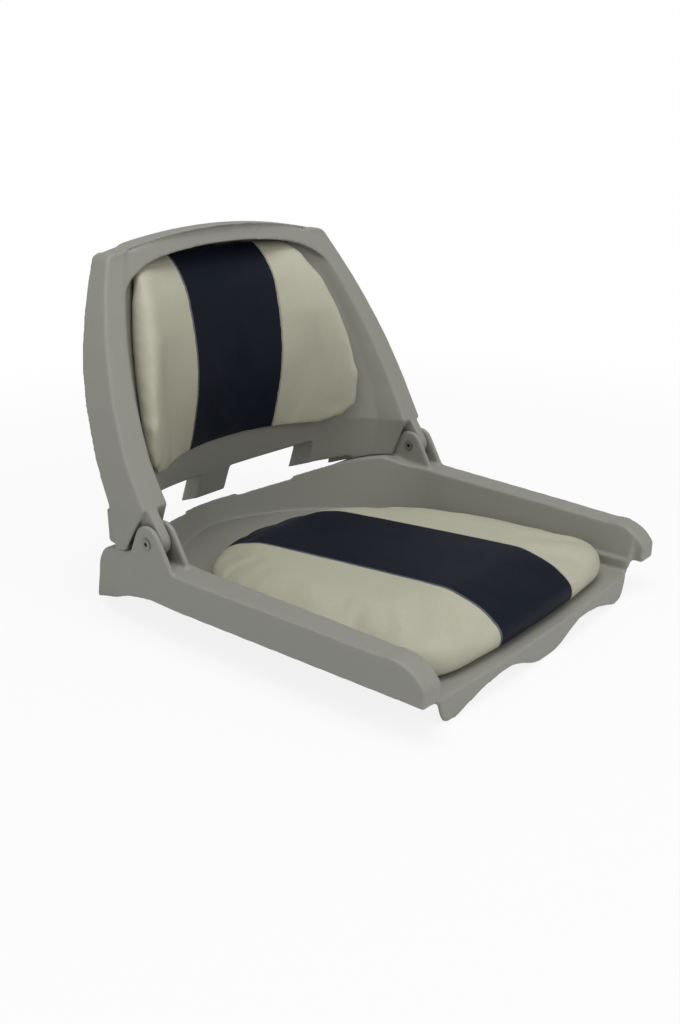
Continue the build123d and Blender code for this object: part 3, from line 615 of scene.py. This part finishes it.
def shape_back(block, low, high):
    for vertex in block.data.vertices:
        rise = (vertex.co.z - low.z) / (high.z - low.z)
        front = max(0.0, -vertex.normal.y)
        outwards = ease(abs(vertex.co.x), 0.55 * high.x, 0.95 * high.x, 2)
        vertex.co.y -= BACK_FULLNESS * front * outwards
        hollow = BACK_RIGHT_HOLLOW * math.sin(math.pi * ease(rise, 0.0, 1.0, 1))
        side = BACK_LEFT_FACTOR if vertex.co.x < 0 else BACK_RIGHT_FACTOR - hollow
        upper, lower = ease(rise, 0.82, 1.0, 4), ease(-rise, -0.12, 0.0, 1)
        vertex.co.x *= side * (1.0 + UPPER_CORNER_WIDENING * upper - LOWER_CORNER_NARROWING * lower)
        vertex.co.z += BACK_LIFT * ease(rise, 0.5, 1.0, 2)


print("the seat block reaches", round(SEAT_REACH / MM), "mm further forwards at its lip")

# %% [markdown]
# The seat cushion lies in the scoop of the lower moulding, and its underside is held by the board. The
# back cushion stands in the bucket of the upper moulding, and its rear side is held.

# %% Both cushions blocked out and swelled
PANELS = {"left": (None, -SEAM_SIDE), "centre": (-SEAM_SIDE, SEAM_SIDE), "right": (SEAM_SIDE, None)}


def cushion_nodes(cushion):
    covers = [f"{cushion}_cushion_cover_{panel}" for panel in PANELS]
    return [f"{cushion}_cushion_foam", *covers, f"{cushion}_cushion_board"]


seat_low = Vector(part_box("seat_cushion_foam")[0])
back_low, back_high = map(Vector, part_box("back_cushion_foam"))
seat_block = block_out("seat_block", cushion_nodes("seat"))
back_block = block_out("back_block", cushion_nodes("back"))
shape_seat(seat_block, seat_low)
shape_back(back_block, back_low, back_high)
swell(seat_block, held=lambda vertex: vertex.normal.z < -0.5)
swell(back_block, held=lambda vertex: vertex.normal.y > 0.5)

# %% [markdown]
# The cover's three panels meet in two seams. At a seam the vinyl turns in and is sewn, which leaves a
# fine groove. After a subdivision the cushion is cut across at each seam and a little to each side of
# it, so that there are points to pull in, and the middle ones are pulled in along their normals.

# %% Seams
SEAM_DEPTH = 1.6 * MM
SEAM_CUTS = [step * MM for step in (-6, -2.4, -1.0, 0, 1.0, 2.4, 6)]
SEAM_PULLS = [(0.3 * MM, 1.0), (1.2 * MM, 0.35)]


def cut_across(piece, side):
    """Adds points on the plane x = side."""
    select_points(piece, lambda vertex: True)
    bpy.ops.object.mode_set(mode="EDIT")
    bpy.ops.mesh.bisect(plane_co=(side, 0, 0), plane_no=(1, 0, 0))
    bpy.ops.object.mode_set(mode="OBJECT")


def sew_seams(piece):
    """A groove across the cushion at each seam."""
    apply_modifier(piece, "SUBSURF", levels=1, render_levels=1)
    for seam in (-SEAM_SIDE, SEAM_SIDE):
        for step in SEAM_CUTS:
            cut_across(piece, seam + step)
        for reach, share in SEAM_PULLS:
            select_points(piece, lambda vertex: abs(vertex.co.x - seam) < reach)
            bpy.ops.object.mode_set(mode="EDIT")
            bpy.ops.transform.shrink_fatten(value=-SEAM_DEPTH * share)
            bpy.ops.object.mode_set(mode="OBJECT")
    print(piece.name, "sewn:", len(piece.data.polygons), "faces")


sew_seams(seat_block)
sew_seams(back_block)

# %% [markdown]
# Each cushion is now cut into its three panels, so that each can have its own colour. A cut is closed
# with a face, which stays hidden inside the seam.

# %% Cutting a panel out of a cushion
SOFT_ANGLE = math.radians(50)


def panel_of(block, name, low, high):
    """The slice of a block from x = low to x = high, as a closed piece of its own."""
    only(block)
    bpy.ops.object.duplicate()
    piece = bpy.context.view_layer.objects.active
    piece.name = piece.data.name = name
    for side, direction in ((low, -1), (high, 1)):
        if side is None:
            continue
        select_points(piece, lambda vertex: True)
        bpy.ops.object.mode_set(mode="EDIT")
        bpy.ops.mesh.bisect(plane_co=(side, 0, 0), plane_no=(direction, 0, 0),
                            use_fill=True, clear_outer=True)
        bpy.ops.object.mode_set(mode="OBJECT")
    only(piece)
    bpy.ops.object.shade_smooth_by_angle(angle=SOFT_ANGLE)
    print(name, len(piece.data.polygons), "faces")
    return piece


# %% [markdown]
# Each panel rides on its cushion's body and stands for the CAD cover of the same side. The centre one
# stands for the foam too, which the whole cushion hides.

# %% Six panels in their colours
for cushion, block, body in (("seat", seat_block, "seat"), ("back", back_block, "backrest")):
    for panel, (low, high) in PANELS.items():
        piece = panel_of(block, f"{cushion}_pad_{panel}", low, high)
        slot, colour = ("navy_vinyl", navy_vinyl) if panel == "centre" else ("cream_vinyl", cream_vinyl)
        piece.data.materials.clear()
        piece.data.materials.append(colour)
        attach(piece, body)
        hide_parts(f"{cushion}_cushion_cover_{panel}")
        if panel == "centre":
            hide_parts(f"{cushion}_cushion_foam")
    bpy.data.objects.remove(block)

# %% [markdown]
# ## The studio
#
# The seat stands on a pale floor in soft light from large lamps. The background is white where the
# camera looks straight at it, while the light on the seat stays at a plain level. The floor is partly
# white by itself for the same reason, more so further out, and it still takes the seat's shadow.

# %% Floor
FLOOR_SIZE = 24
FLOOR_SHADE = 0.86
NEAR_GLOW = 0.86
SHADOW_REACH, WHITE_REACH = 0.5, 1.6
bpy.ops.mesh.primitive_grid_add(x_subdivisions=8, y_subdivisions=8, size=FLOOR_SIZE, location=(0, 0, 0))
floor = bpy.context.view_layer.objects.active
floor.name = "floor"
pale_floor = Finish("pale_floor")
matt = pale_floor.node("ShaderNodeBsdfDiffuse", None, {"Color": (FLOOR_SHADE, FLOOR_SHADE, FLOOR_SHADE, 1)})
glow = pale_floor.node("ShaderNodeEmission", None, {"Color": (1, 1, 1, 1), "Strength": 1.0})
seen = pale_floor.node("ShaderNodeLightPath", output="Is Camera Ray")
distance = pale_floor.node("ShaderNodeVectorMath", {"operation": "LENGTH"}, {0: pale_floor.place()},
                           output="Value")
white = NEAR_GLOW + (1.0 - NEAR_GLOW) * distance.ramp(SHADOW_REACH, WHITE_REACH)
both = pale_floor.node("ShaderNodeMixShader", None, {0: white * seen, 1: matt, 2: glow})
floor.data.materials.append(pale_floor.show(both))
print("the floor is", round(floor.dimensions.x), "metres wide")

# %% World
SKY_LIGHT = 0.38
sky = Finish("studio", kind="worlds")
bpy.context.scene.world = sky.owner
straight = sky.node("ShaderNodeLightPath", output="Is Camera Ray")
through = sky.node("ShaderNodeLightPath", output="Is Transmission Ray")
direct = sky.maths("MAXIMUM", straight, through)
strength = sky.node("ShaderNodeMapRange", None, {"Value": direct, "To Min": SKY_LIGHT, "To Max": 1.0})
background = sky.node("ShaderNodeBackground", None, {"Color": (1, 1, 1, 1), "Strength": strength})
sky.node("ShaderNodeOutputWorld", None, {"Surface": background}, output=None)
print("the sky is white to look at, and lights the seat at", SKY_LIGHT)

# %% Lamps
LAMPS = {
    "front_lamp": {"place": (0.3, -2.6, 1.9), "width": 1.6, "power": 20},
    "top_lamp": {"place": (-0.5, -0.3, 2.8), "width": 1.8, "power": 40},
    "side_lamp": {"place": (-2.6, -0.6, 1.4), "width": 1.4, "power": 5},
}
SEAT_MIDDLE = Vector((0, 0, 0.2))


def add_lamp(name, place, width, power):
    """A square lamp that faces the middle of the seat."""
    lamp = bpy.data.lights.new(name, "AREA")
    lamp.size = width
    lamp.energy = power
    holder = bpy.data.objects.new(name, lamp)
    holder.location = place
    holder.rotation_euler = (SEAT_MIDDLE - Vector(place)).to_track_quat("-Z", "Y").to_euler()
    bpy.context.scene.collection.objects.link(holder)


for name, lamp in LAMPS.items():
    add_lamp(name, **lamp)
print("lamps:", ", ".join(LAMPS))

# %% [markdown]
# ## The camera
#
# The camera stands to the seat's left and in front of it, a little above the top of the back, with a
# view of about 52 degrees from bottom to top. Its place and its lens were worked out from the
# photograph's own perspective.

# %% Camera
AZIMUTH, ELEVATION = math.radians(-49.04), math.radians(21.29)
CAMERA_PLACE = (-0.9327, -0.7543, 0.5763)
backwards = Vector((math.sin(AZIMUTH) * math.cos(ELEVATION), -math.cos(AZIMUTH) * math.cos(ELEVATION),
                    math.sin(ELEVATION)))
view = bpy.data.cameras.new("camera")
view.lens = 36.88
view.sensor_width = 36.0
camera = bpy.data.objects.new("camera", view)
camera.location = CAMERA_PLACE
camera.rotation_mode = "QUATERNION"
camera.rotation_quaternion = (-backwards).to_track_quat("-Z", "Y")
bpy.context.scene.collection.objects.link(camera)
bpy.context.scene.camera = camera
bpy.context.scene.view_settings.view_transform = "Standard"
print("the camera is", round(camera.location.length, 2), "metres from the middle of the mount")
